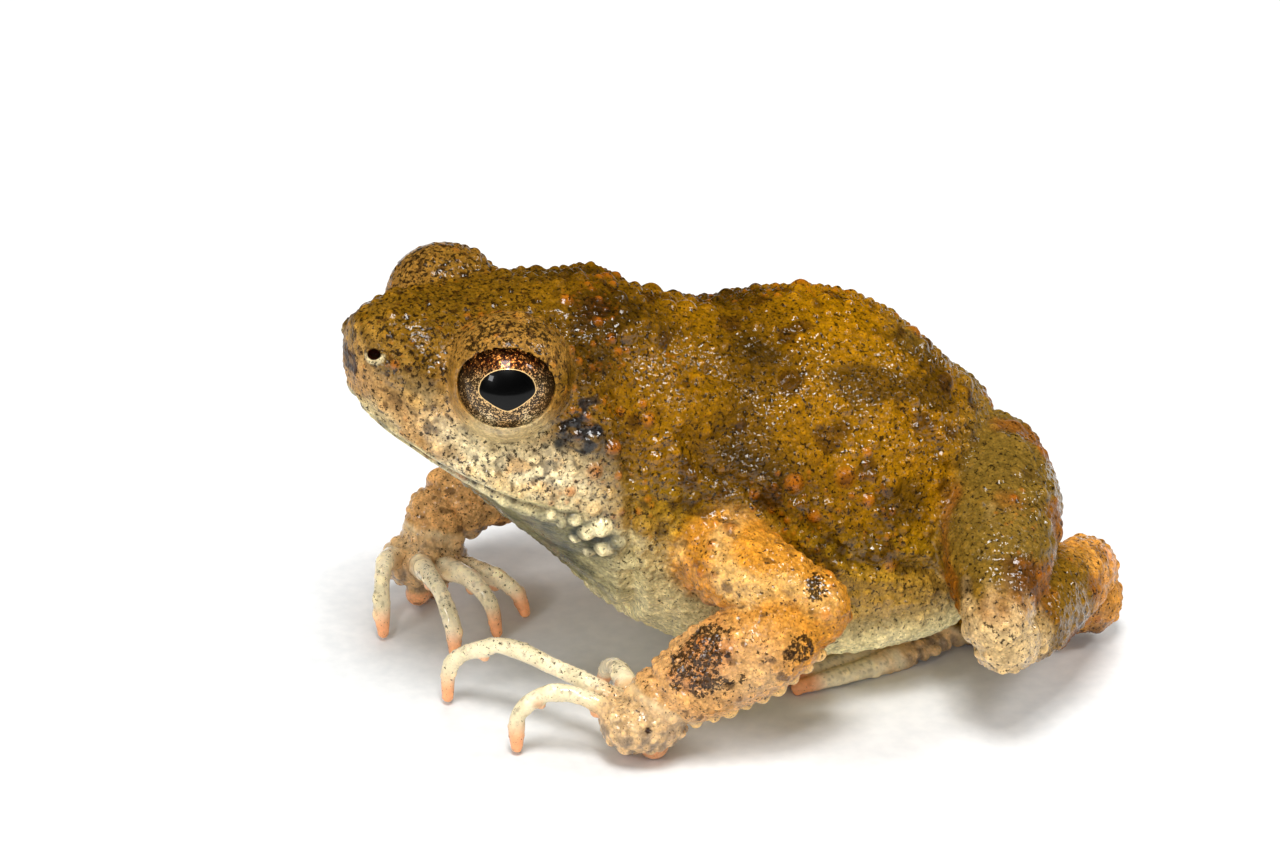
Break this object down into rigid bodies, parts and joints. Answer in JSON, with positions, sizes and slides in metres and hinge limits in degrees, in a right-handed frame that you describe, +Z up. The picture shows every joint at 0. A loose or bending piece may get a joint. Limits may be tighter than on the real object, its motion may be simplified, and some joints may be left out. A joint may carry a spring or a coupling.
{
  "type": "tungara frog",
  "caption": "Life-size tungara frog sitting with its chest raised, still, on small flats under its hands and feet.",
  "frame": {"origin": "middle of the footprint on the floor that the frog sits on", "axes": "+Z up, -Y ahead of the snout, +X to the frog's left side"},
  "size_m": [0.0252, 0.029, 0.0167],
  "materials": {
    "head_skin": "moist, glossy, finely warted",
    "body_skin": "moist, glossy, coarsely warted",
    "arm_skin": "moist, satin, finely warted",
    "hand_skin": "moist, smooth",
    "eye": "polished"
  },
  "bodies": {
    "root": {"eye_left": "eye", "eye_right": "eye", "finger_left_1": "hand_skin", "finger_left_2": "hand_skin", "finger_left_3": "hand_skin", "finger_left_4": "hand_skin", "finger_right_1": "hand_skin", "finger_right_2": "hand_skin", "finger_right_3": "hand_skin", "finger_right_4": "hand_skin", "foot_left": "hand_skin", "foot_right": "hand_skin", "forearm_left": "arm_skin", "forearm_right": "arm_skin", "hand_left": "hand_skin", "hand_right": "hand_skin", "head": "head_skin", "shank_left": "body_skin", "shank_right": "body_skin", "tarsus_left": "body_skin", "tarsus_right": "body_skin", "thigh_left": "body_skin", "thigh_right": "body_skin", "toe_left_1": "hand_skin", "toe_left_2": "hand_skin", "toe_left_3": "hand_skin", "toe_left_4": "hand_skin", "toe_left_5": "hand_skin", "toe_right_1": "hand_skin", "toe_right_2": "hand_skin", "toe_right_3": "hand_skin", "toe_right_4": "hand_skin", "toe_right_5": "hand_skin", "torso": "body_skin", "upper_arm_left": "arm_skin", "upper_arm_right": "arm_skin"}
  },
  "joints": []
}
